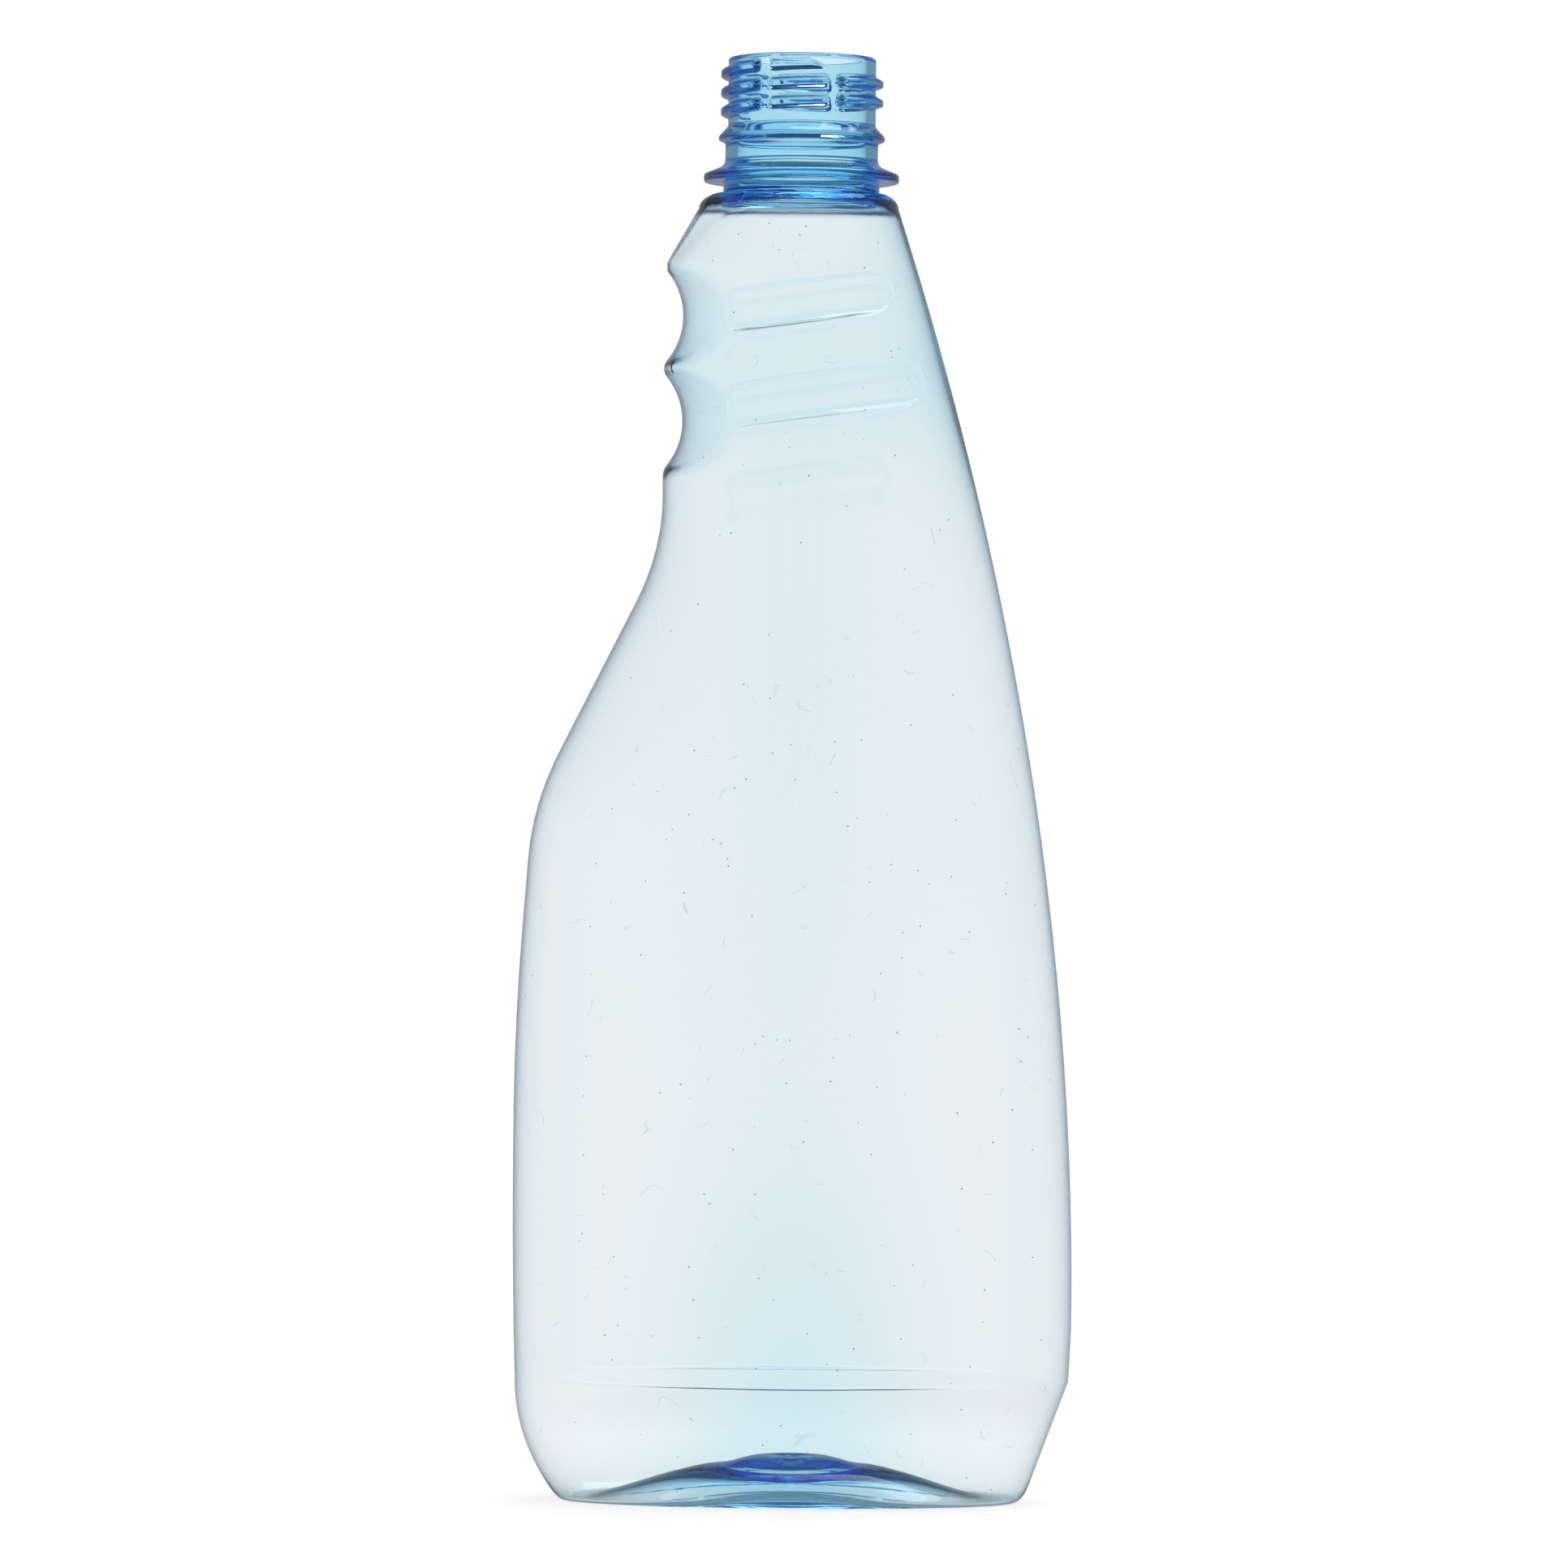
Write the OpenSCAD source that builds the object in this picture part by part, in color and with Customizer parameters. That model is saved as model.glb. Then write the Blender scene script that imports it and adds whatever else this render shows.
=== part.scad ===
/* [Body] */
// Height from the table to the rim of the neck
total_h = 243.7; // [225:0.1:265]
// Greatest width, from the grip side to the back
body_w = 94.6; // [86:0.2:104]
// Greatest depth, from one face to the other
body_d = 44; // [38:0.5:50]
// How square the oval plan is, where 2 is a plain oval
squareness = 2.2; // [2:0.05:2.8]
// Wall of the blown body
wall = 0.45; // [0.35:0.05:0.7]
// Extra wall where the body leaves the neck
shoulder_extra_wall = 0.9; // [0.3:0.1:1.2]
// Height at which the back edge stands furthest out
back_wide_z = 33; // [28:1:45]
// Bend of the back edge above that, where 2 is a parabola
back_bend = 1.96; // [1.6:0.02:2.3]
// Distance from the neck axis to the back edge at the shoulder
shoulder_back = 16.5; // [15.5:0.1:19]
// Depth of the body at the shoulder
shoulder_d = 31.8; // [30:0.2:36]
// Height of the rounded shoulder under the neck
shoulder_h = 2.6; // [2:0.1:4]

/* [Flank and grip] */
// Height at which the belly turns into the sloping flank
flank_z = 117.5; // [108:0.5:124]
// Slope of the flank away from upright, in degrees
flank_angle = 26.7; // [24:0.1:31]
// Distance from the neck axis to the front edge of the grip
grip_front = 23; // [21.5:0.1:26]
// Slope of the short front edge above the grip, in degrees
brow_angle = 30; // [24:0.5:34]
// Depth of the finger grooves in the front edge
finger_depth = 3.2; // [1.5:0.1:4]
// Radius of the finger grooves, seen from the side
finger_r = 11.8; // [10:0.1:13]
// Distance from one finger groove to the next
finger_pitch = 17.8; // [17:0.1:20]
// Distance from the shoulder down to the upper groove
finger_drop = 18.2; // [17:0.1:19]
// Radius with which a finger groove wraps round the front
finger_wrap = 15.7; // [14:0.1:18]
// Depth of the uppermost finger recess in each face
recess_depth = 0.8; // [0.3:0.1:1.2]
// Height of the finger recesses
recess_h = 7; // [5:0.5:9]
// Rise of the finger recesses towards the back, in degrees
recess_tilt = 8; // [0:0.5:12]

/* [Heel and base] */
// Height of the heel, up to the edge of the label panel
heel_h = 20.5; // [14:0.5:26]
// How far the heel draws in at its front edge
heel_front_in = 5.4; // [4:0.1:9]
// How far the heel draws in at its back edge
heel_back_in = 6.5; // [4:0.1:9]
// How far the heel draws in on the two faces
heel_face_in = 5; // [3:0.1:6]
// Radius of the corner between the heel and the standing ring
foot_round = 3; // [1.5:0.1:3.6]
// Width of the flat ring that the bottle stands on
foot_w = 1.5; // [1:0.1:2.2]
// Height of the push-up at the edge of its thick centre
pushup_h = 4.2; // [2:0.1:5]
// Radius of the thick centre of the base
gate_r = 11.8; // [9:0.1:12.4]
// Thickness of the centre of the base
gate_t = 2.5; // [1.2:0.1:3.2]
// Wall of the push-up round that centre
base_wall = 1.1; // [0.6:0.1:1.4]
// Step from the heel back to the label panel
panel_step = 0.35; // [0.1:0.05:0.6]

/* [Neck finish] */
// Bore of the neck
bore_d = 21.74; // [20.5:0.02:22.2]
// Outside of the neck wall between the threads
root_d = 24.94; // [24.4:0.02:25.6]
// Outside of the thread
thread_d = 27.43; // [26.6:0.01:28]
// Rise of the thread in one turn
pitch = 3.2; // [3:0.05:3.4]
// Turns of the thread
thread_turns = 2.4; // [1.2:0.1:2.5]
// Depth of the thread's start below the rim
thread_start = 1.6; // [1.5:0.1:2]
// Width of a thread rib at its foot
thread_w = 2.4; // [1.8:0.1:2.6]
// Width of the gaps that vent the thread, in degrees
vent_w = 8; // [4:0.5:14]
// Distance from the rim down to the underside of the support ring
finish_h = 21; // [20.6:0.1:22]
// Outside of the support ring
ring_d = 33; // [31:0.1:35]
// Thickness of the support ring at its edge
ring_t = 1.3; // [0.9:0.1:1.6]
// Outside of the tamper bead
bead_d = 28.1; // [27.6:0.1:28.6]
// Height of the bead above the underside of the support ring
bead_rise = 7.2; // [6.8:0.1:7.4]
// Outside of the collar between the bead and the support ring
collar_d = 25.8; // [25.4:0.1:26.4]
// Outside of the short neck under the support ring
neck_d = 26.4; // [26:0.1:26.8]
// Height of that short neck
short_neck = 1.9; // [1:0.1:2.5]

/* [Hidden] */

cols = 44;
half_w = body_w / 2;
half_d = body_d / 2;
rim_z = total_h;
ring_z = rim_z - finish_h;
neck_foot_z = ring_z - short_neck;
shoulder_z = neck_foot_z - shoulder_h;

bore_r = bore_d / 2;
root_r = root_d / 2;
neck_r = neck_d / 2;

// The blown shell ends in a thin sleeve that lies inside the neck wall
sleeve_top_z = ring_z + ring_t / 2;
sleeve_outer_r = neck_r - 0.6;
sleeve_wall = 0.7;
neck_overlap = 0.6;

// Front edge: straight stretches that meet in rounded corners
belly_low_z = 38;
belly_high_z = 80;
belly_toe = 0.033;
belly_lean = 0.075;
flank_slope = tan(flank_angle);
brow_slope = tan(brow_angle);
belly_round = 17;
flank_round = 9;
brow_round = 1.2;
heel_front_bend = 2.1;
grip_z = flank_z + (half_w - grip_front - belly_lean * (flank_z - belly_high_z)) / flank_slope;

// The short brow runs from the grip to the front of the shoulder
shoulder_front = shoulder_back + 0.8;
brow_z = shoulder_z - (grip_front - shoulder_front) / brow_slope;

// Back edge between its widest height and the heel: a shallow bow
back_bow = 0.5;

// Depth: full up to the middle of the belly, then drawn in towards the shoulder
deep_z = 60;
depth_bend = 1.6;
heel_face_bend = 1.4;

upper_finger_z = shoulder_z - finger_drop;
lower_finger_z = upper_finger_z - finger_pitch;
finger_axis_x = -(grip_front - finger_depth) - finger_r;
finger_half_h = finger_r * 0.7;
edge_soft = 0.5;

// Finger recesses of each face: middle height at the front end, its end towards the back, depth
recess_front_x = -12;
recess_edge = 1.6;
recesses = [
    [upper_finger_z + 0.3, 15, recess_depth],
    [lower_finger_z + 1.6, 19, recess_depth * 0.6],
    [lower_finger_z - 13.2, 15, recess_depth * 0.3]
];

// The panel's edge fades out towards the front and the back, and its step towards the shoulder
panel_fade_x = half_w - 13;
panel_fade = 8;
panel_fade_h = 150;
panel_edge_h = 0.6;

// Walls: the extra at the shoulder dies away over this height, and the foot's as a power of the heel
shoulder_fade = 8;
foot_fade_bend = 3;

// Push-up: higher at the front and back than at the faces, with a level thick centre
pushup_saddle = 0.14;
gate_rise = 0.6;
gate_z = pushup_h + gate_rise;
gate_flat_r = gate_r * 0.68;

function mix(a, b, t) = a + (b - a) * t;
function clip(t) = min(1, max(0, t));
function smooth(t) = clip(t) * clip(t) * (3 - 2 * clip(t));
function signed_pow(v, p) = v < 0 ? -pow(-v, p) : pow(v, p);
function spread(a, b, n) = [for (k = [0 : n - 1]) mix(a, b, k / n)];

// 0 below the corner, the distance past it above, and a parabola within w of it
function ramp(t, w) = t <= -w ? 0 : t >= w ? t : (t + w) * (t + w) / (4 * w);
// The greater of two values, with the edge between them rounded
function soft_max(a, b, k) = (a + b + sqrt((a - b) * (a - b) + k * k)) / 2;

function heel_t(z) = clip((heel_h - z) / (heel_h - foot_round));

function front_x(z) =
    -half_w + belly_toe * ramp(belly_low_z - max(z, heel_h), belly_round)
    + belly_lean * ramp(z - belly_high_z, belly_round)
    + (flank_slope - belly_lean) * ramp(z - flank_z, flank_round)
    - flank_slope * ramp(z - grip_z, flank_round)
    + brow_slope * ramp(z - brow_z, brow_round)
    + heel_front_in * pow(heel_t(z), heel_front_bend);

function back_x(z) =
    z > back_wide_z
    ? half_w - (half_w - shoulder_back) * pow((z - back_wide_z) / (shoulder_z - back_wide_z), back_bend)
    : half_w - back_bow * pow((back_wide_z - max(z, heel_h)) / (back_wide_z - heel_h), 2) - heel_back_in * heel_t(z);

function face_y(z) =
    half_d - (half_d - shoulder_d / 2) * pow(clip((z - deep_z) / (shoulder_z - deep_z)), depth_bend)
    - heel_face_in * pow(heel_t(z), heel_face_bend);

function plan_power(z) = mix(squareness, 2, smooth((z - grip_z) / (shoulder_z - grip_z)));

function oval(x0, x1, y1, n, a) =
    [(x0 + x1) / 2 + (x1 - x0) / 2 * signed_pow(cos(a), 2 / n), y1 * signed_pow(sin(a), 2 / n)];

// Front of one finger groove at height z, or far outside the body away from the groove
function groove_x(z, z0) =
    abs(z - z0) < finger_half_h ? finger_axis_x + sqrt(finger_r * finger_r - (z - z0) * (z - z0)) : -2 * half_w;
function grooves_x(z) = max(groove_x(z, upper_finger_z), groove_x(z, lower_finger_z));

// Depth of a face's recesses at x and z: each is a slanted box with soft edges
function recess_at(x, z, r) =
    r[2] * smooth((x - recess_front_x) / recess_edge) * smooth((r[1] - x) / (2 * recess_edge))
    * smooth((recess_h / 2 - abs(z - r[0] - (x - recess_front_x) * tan(recess_tilt))) / recess_edge);
function recessed(x, z) =
    recess_at(x, z, recesses[0]) + recess_at(x, z, recesses[1]) + recess_at(x, z, recesses[2]);

function panel_at(x, z) =
    z > heel_h + panel_edge_h / 2 ? panel_step * smooth((panel_fade_x + panel_fade - abs(x)) / panel_fade) : 0;

function body_point(z, a) =
    let (p = oval(front_x(z), back_x(z), face_y(z), plan_power(z), a),
         cut = grooves_x(z) + p[1] * p[1] / (2 * finger_wrap),
         x = soft_max(p[0], cut, edge_soft),
         dip = (recessed(x, z) + panel_at(x, z) * clip((shoulder_z - z) / panel_fade_h)) * abs(sin(a)))
    [x, p[1] - sign(p[1]) * dip, z];
function body_ring(z) = [for (j = [0 : cols - 1]) body_point(z, j * 360 / cols)];

// Ring of the rounded shoulder: t goes from 0 at the body to 1 at the neck
function shoulder_ring(t) =
    [for (j = [0 : cols - 1])
        let (a = j * 360 / cols,
             p = body_point(shoulder_z, a),
             in = 1 - cos(90 * t))
        [mix(p[0], sleeve_outer_r * cos(a), in), mix(p[1], sleeve_outer_r * sin(a), in),
         shoulder_z + shoulder_h * sin(90 * t)]];

function round_ring(r, z) =
    [for (j = [0 : cols - 1]) [r * cos(j * 360 / cols), r * sin(j * 360 / cols), z]];

// Oval drawn in by d from the foot of the heel, at height z
function foot_oval(d, a) =
    oval(front_x(foot_round) + d, back_x(foot_round) - d, face_y(foot_round) - d, squareness, a);
function foot_ring(d, z) =
    [for (j = [0 : cols - 1])
        let (p = foot_oval(d, j * 360 / cols))
        [p[0], p[1], z]];

// Height of the push-up at the edge of the thick centre, in the direction a
function pushup_top(a) = pushup_h * (1 + pushup_saddle * cos(2 * a));
// Ring of the push-up: t goes from 0 at the standing ring to 1 at the thick centre
function pushup_ring(t) =
    [for (j = [0 : cols - 1])
        let (a = j * 360 / cols,
             p = foot_oval(foot_round + foot_w, a))
        [mix(p[0], gate_r * cos(a), t), mix(p[1], gate_r * sin(a), t), pushup_top(a) * smooth(t)]];
function gate_ring(r) =
    [for (j = [0 : cols - 1])
        let (a = j * 360 / cols,
             t = 1 - r / gate_r)
        [r * cos(a), r * sin(a),
         mix(pushup_top(a), gate_z, smooth(t / (1 - gate_flat_r / gate_r)))]];

body_rows = concat(
    spread(shoulder_z, brow_z, 3),
    spread(brow_z, lower_finger_z - finger_half_h, 16),
    spread(lower_finger_z - finger_half_h, grip_z - flank_round, 5),
    spread(grip_z - flank_round, flank_z + flank_round, 2),
    spread(flank_z + flank_round, flank_z - flank_round, 4),
    spread(flank_z - flank_round, back_wide_z, 5),
    [back_wide_z, heel_h + panel_edge_h],
    spread(heel_h, foot_round, 5)
);

function row_wall(z) =
    wall + shoulder_extra_wall * exp((z - neck_foot_z) / shoulder_fade)
    + (base_wall - wall) * pow(heel_t(z), foot_fade_bend);

// Each ring of the outer skin with the wall behind it, from the sleeve down to the centre of the base
rings = concat(
    [[sleeve_wall, round_ring(sleeve_outer_r, sleeve_top_z)]],
    [for (t = [1, 0.66, 0.33]) [mix(row_wall(shoulder_z), sleeve_wall, t), shoulder_ring(t)]],
    [for (z = body_rows) [row_wall(z), body_ring(z)]],
    [for (t = [0, 0.5, 1])
        [base_wall, foot_ring(foot_round * (1 - cos(90 * t)), foot_round * (1 - sin(90 * t)))]],
    [[base_wall, foot_ring(foot_round + foot_w, 0)]],
    [for (t = [0.25, 0.5, 0.75, 1]) [base_wall, pushup_ring(t)]],
    [for (r = [gate_flat_r, gate_flat_r / 2]) [gate_t, gate_ring(r)]]
);
rows = len(rings);

function skin(i, j) = rings[min(rows - 1, max(0, i))][1][(j + cols) % cols];
function outward(i, j) =
    let (n = cross(skin(i + 1, j) - skin(i - 1, j), skin(i, j + 1) - skin(i, j - 1)))
    n / norm(n);
outer_points = [for (i = [0 : rows - 1]) for (j = [0 : cols - 1]) skin(i, j)];
inner_points = [for (i = [0 : rows - 1]) for (j = [0 : cols - 1]) skin(i, j) - rings[i][0] * outward(i, j)];

// Triangles of one skin, from its first point number on, down to its pole
function skin_faces(first, pole, flip) =
    [for (i = [0 : rows - 1]) for (j = [0 : cols - 1])
        let (a = first + i * cols + j,
             b = first + i * cols + (j + 1) % cols)
        each i < rows - 1
            ? [turned([a, b, a + cols], flip), turned([b, b + cols, a + cols], flip)]
            : [turned([a, b, pole], flip)]];
function turned(f, flip) = flip ? [f[2], f[1], f[0]] : f;

module blown_shell() {
    count = rows * cols;
    polyhedron(
        points = concat(outer_points, inner_points, [[0, 0, gate_z], [0, 0, gate_z + gate_t]]),
        faces = concat(
            skin_faces(0, 2 * count, false),
            skin_faces(count, 2 * count + 1, true),
            [for (j = [0 : cols - 1])
                let (k = (j + 1) % cols)
                each [[j, count + j, k], [k, count + j, count + k]]]
        )
    );
}

module gate_nub() {
    nub_r = 1.8;
    nub_h = 0.8;
    translate([0, 0, gate_z - nub_h]) cylinder(r = nub_r, h = nub_h + gate_t / 2, $fn = 32);
}

// Section of the neck, from the rim down the outside and back up the bore
module neck_section() {
    rim_round = 0.5;
    bead_z = ring_z + bead_rise;
    bead_slope_h = 2.6;
    bead_land = 0.5;
    flare = 0.3;
    ring_top_z = ring_z + ring_t;
    collar_flare = 0.5;
    lead_in = 0.9;
    polygon(concat(
        [[bore_r, rim_z - rim_round / 2], [bore_r + rim_round / 2, rim_z]],
        [for (a = [90 : -30 : 0])
            [root_r - rim_round + rim_round * cos(a), rim_z - rim_round + rim_round * sin(a)]],
        [[root_r, bead_z + bead_slope_h], [root_r + flare, bead_z + bead_slope_h - bead_land]],
        [[bead_d / 2, bead_z + bead_land], [bead_d / 2, bead_z], [collar_d / 2, bead_z - bead_land]],
        [[collar_d / 2, ring_top_z + lead_in + 2 * collar_flare]],
        [[collar_d / 2 + collar_flare, ring_top_z + lead_in]],
        [[ring_d / 2 - flare, ring_top_z], [ring_d / 2, ring_top_z - flare]],
        [[ring_d / 2, ring_z + flare], [ring_d / 2 - flare, ring_z], [neck_r, ring_z]],
        [[neck_r, neck_foot_z - neck_overlap], [sleeve_outer_r - sleeve_wall / 2, neck_foot_z - neck_overlap]],
        [[bore_r, neck_foot_z - neck_overlap + lead_in]]
    ));
}

// The thread's start and its vents, in degrees to the right of the middle of the near face,
// with the vents in the order in which the thread meets them on its way down
start_place = 17;
vent_places = [-30, -156, 150, 24];
thread_foot_r = root_r - 0.3;

// Flanks of a rib, steep below and gentler above, and its tapers in degrees
low_flank = 0.5;
high_flank = 0.9;
start_taper = 32;
start_full = 0.15;
start_slim = 0.5;
end_taper = 4;
end_full = 0.6;
rib_step = 13;
shortest_rib = 20;

// One rib of the thread between two angles, measured down the helix from its start
module thread_rib(from, to) {
    steps = max(3, ceil((to - from) / rib_step));
    angles = concat(
        [from], [for (k = [0 : steps]) mix(from + end_taper, to - end_taper, k / steps)], [to]);
    n = len(angles);
    points = [for (s = angles)
        let (full = min(clip(start_full + s / start_taper),
                        mix(end_full, 1, clip(min(s - from, to - s) / end_taper))),
             turn = start_place - 90 - s,
             r = mix(root_r, thread_d / 2, full),
             share = mix(start_slim, 1, full),
             foot = share * thread_w / 2,
             z = rim_z - thread_start - pitch * s / 360 - (thread_w / 2 - foot))
        each [for (q = [[thread_foot_r, -foot], [r, share * low_flank - foot],
                        [r, foot - share * high_flank], [thread_foot_r, foot]])
            [q[0] * cos(turn), q[0] * sin(turn), z + q[1]]]];
    polyhedron(
        points = points,
        faces = concat(
            [for (i = [0 : n - 2]) for (k = [0 : 3])
                let (a = 4 * i + k, b = 4 * i + (k + 1) % 4)
                each [[a, a + 4, b], [b, a + 4, b + 4]]],
            [[0, 1, 2], [0, 2, 3], [4 * n - 4, 4 * n - 2, 4 * n - 3], [4 * n - 4, 4 * n - 1, 4 * n - 2]]
        )
    );
}

// The ribs lie between the vents, all the way down the thread
module thread() {
    length = 360 * thread_turns;
    cuts = [for (t = [0 : ceil(thread_turns)]) for (v = vent_places)
        let (s = 360 * t + (start_place - v + 360) % 360)
        if (s > shortest_rib && s < length - shortest_rib) s];
    starts = concat([0], [for (c = cuts) c + vent_w / 2]);
    ends = concat([for (c = cuts) c - vent_w / 2], [length]);
    for (k = [0 : len(starts) - 1]) thread_rib(starts[k], ends[k]);
}

module bottle() {
    color([0.42, 0.7, 0.9]) union() {
        blown_shell();
        gate_nub();
        rotate_extrude($fn = 96) neck_section();
        thread();
    }
}

bottle();
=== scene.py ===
import math

import bpy
import numpy as np
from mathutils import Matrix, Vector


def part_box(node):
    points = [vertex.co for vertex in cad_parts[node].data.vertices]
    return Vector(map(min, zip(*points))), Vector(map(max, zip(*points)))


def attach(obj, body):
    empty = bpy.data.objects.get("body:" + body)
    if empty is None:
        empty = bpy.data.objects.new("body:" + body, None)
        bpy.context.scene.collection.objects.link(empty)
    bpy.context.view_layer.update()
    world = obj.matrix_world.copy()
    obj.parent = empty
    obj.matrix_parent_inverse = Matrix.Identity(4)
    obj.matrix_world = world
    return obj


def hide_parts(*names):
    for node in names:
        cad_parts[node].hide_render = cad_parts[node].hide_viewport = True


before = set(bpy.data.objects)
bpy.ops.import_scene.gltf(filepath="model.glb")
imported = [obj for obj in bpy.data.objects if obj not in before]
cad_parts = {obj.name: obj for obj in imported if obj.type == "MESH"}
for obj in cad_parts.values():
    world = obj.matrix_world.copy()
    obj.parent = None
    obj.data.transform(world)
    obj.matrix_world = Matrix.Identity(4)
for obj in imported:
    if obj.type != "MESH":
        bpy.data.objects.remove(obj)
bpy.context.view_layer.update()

mm = 0.001
low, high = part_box("bottle")

# The blown body, in millimetres. Its reach comes from the frame.
bodyShape = {
    "columns": 240,
    "halfWidth": (high.x - low.x) / 2 / mm,
    "halfDepth": (high.y - low.y) / 2 / mm,
    "squareness": 2.2, "roundFromZ": 160,
    "backWideZ": 33, "backBend": 1.96, "backToe": 0.5, "shoulderBack": 16.5,
    "shoulderDepth": 31.8, "shoulderHeight": 2.6, "deepZ": 60, "depthBend": 1.6,
    "bellyLowZ": 38, "bellyHighZ": 80, "bellyToe": 0.033, "bellyLean": 0.075, "bellyRound": 17,
    "flankZ": 117.5, "flankAngle": 26.7, "flankRound": 9,
    "gripFront": 23, "browAngle": 30, "browRound": 1.6, "browEase": 0.8,
    # where the rows of the mesh slant
    "slantFromZ": 148, "slantToZ": 217, "slantEase": 14,
    # the facet beside the front edge above the grip
    "creaseZ": 205.5, "creaseWidth": 6.6, "creaseNose": 0.34, "creaseLeast": 0.3,
}

# The finger grooves in the front edge, and the recesses that run on from them in both faces
gripShape = {
    "grooveDepth": 3.2, "grooveRadius": 11.8, "grooveHalf": 0.75, "grooveWrap": 15.7,
    "drop": 18.2, "pitch": 17.8, "edgeSoft": 0.35,
    "recessHeight": 7.2, "recessTilt": 8, "recessFront": -12.2, "recessEdge": 1.1,
    # middle height at the front end above the lower groove, end towards the back, depth
    "recesses": [(17.8, 15.5, 1.0), (1.8, 21, 0.8), (-13.2, 15, 0.35)],
}

# The heel, the edge of the label panel, the standing ring and the push-up with its thick centre
baseShape = {
    "heelHeight": 20.5, "heelFrontIn": 5.4, "heelFrontBend": 2.1, "heelBackIn": 6.5,
    "heelFaceIn": 5.0, "heelFaceBend": 1.4,
    "panelStep": 0.35, "panelEdge": 0.6, "panelFadeFrom": 34, "panelFade": 8, "panelRise": 150,
    "footRound": 3.0, "standWidth": 1.5,
    "pushupHeight": 4.0, "pushupSaddle": 0.14,
    "gateRadius": 11.8, "gateRise": 1.1, "gateRipples": 6, "gateRipple": 0.07,
    "nubRadius": 1.8, "nubHeight": 0.6, "nubEdge": 0.3,
}

# Walls of the blown body, in millimetres: a thin even skin, and what lies thicker on it
wallShape = {
    "skin": 0.14,
    # the middle of the faces is thicker than their sides
    "middle": 0.07, "middleWidth": 16,
    # thicker low down in the middle, as the plastic near the gate is stretched least
    "low": 0.5, "lowHeight": 50, "lowWidth": 20,
    # a thick belt round the grip, with more of it in the upper grooves
    "grip": 0.06, "gripFrom": 168, "gripFull": 196, "belt": 0.18, "beltZ": 190, "beltHeight": 13,
    # the upper back edge
    "back": 0.26, "backFrom": 150, "backFull": 200, "backPower": 3,
    # the shoulder, just under the neck
    "shoulder": 0.65, "shoulderFrom": -3.3, "shoulderFull": -0.6,
    "shoulderWave": 0.03, "shoulderWaves": (11, 29),
    # the inside of the edges of the recesses, of the grooves and of the label panel
    "edge": 0.27, "edgeWidth": 1.6, "groove": 0.17, "grooveWidth": 0.9,
    "panelEdge": 0.06, "panelUneven": 2.5, "panelUnevenWidth": 12, "panelWaves": (2.4, 0.9),
    # the foot, thickest below the middle of the faces, and the centre of the base
    "foot": 0.12, "footMiddle": 1.2, "footSpread": 17, "footFade": 3.0,
    "pushup": 0.9, "gate": 2.6, "gateSwell": 1.25,
}

# The neck finish, from the rim down
neckShape = {
    "boreRadius": 10.87, "rootRadius": 12.47, "threadRadius": 13.715, "beadRadius": 14.05,
    "collarRadius": 12.9, "ringRadius": 16.5, "neckRadius": 13.2,
    "finishHeight": 21.0, "ringThick": 1.3, "beadAboveRing": 7.2, "beadSlope": 2.3, "shortNeck": 1.9,
    # from the ring's sloping top up to the collar, over the bead, and the lip at the rim
    "flareOut": 0.5, "flareLow": 1.3, "flareHigh": 2.2,
    "beadLow": 0.6, "beadFlat": (0.1, 0.5), "beadToe": (0.3, 0.4), "lip": 0.6,
    "cornerRadii": (0.35, 0.4, 0.3, 0.8, 0.6, 0.35, 0.25, 0.3, 0.4, 0.2, 0.1, 0.5), "profileStep": 1.2,
}

# Its thread, in millimetres and degrees
threadShape = {
    "pitch": 3.2, "turns": 2.4, "start": 1.6, "foot": 2.4, "lowFlank": 0.6, "highFlank": 1.0, "corner": 0.8,
    # in degrees to the right of the middle of the near face
    "startsAt": 17, "vents": (-30, 24, 150, 204), "ventWidth": 8,
    "startPoint": 12, "startTaper": 40, "startSlim": 0.75, "rows": 60,
}

columns = bodyShape["columns"]
angles = np.arange(columns) * 2 * np.pi / columns
rimZ = high.z / mm
ringZ = rimZ - neckShape["finishHeight"]
neckFootZ = ringZ - neckShape["shortNeck"]
shoulderZ = neckFootZ - bodyShape["shoulderHeight"]
farOut = 200.0


def smooth(t):
    # 0 below 0, 1 above 1, and 3t^2 - 2t^3 between
    t = np.clip(t, 0, 1)
    return t * t * (3 - 2 * t)


def ramp(t, w):
    # 0 below -w, t above w, and the parabola that joins them between
    return np.where(t <= -w, 0, np.where(t >= w, t, (t + w) ** 2 / (4 * w)))


def softMax(a, b, k):
    # the greater of a and b, with the edge between them rounded by k
    return (a + b + np.sqrt((a - b) ** 2 + k * k)) / 2


def signedPower(v, p):
    # |v|^p with the sign of v
    return np.sign(v) * np.abs(v) ** p


def heelShare(z):
    # 0 at the top of the heel and above, 1 at the foot
    heelZ = baseShape["heelHeight"]
    return np.clip((heelZ - z) / (heelZ - baseShape["footRound"]), 0, 1)


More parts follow.
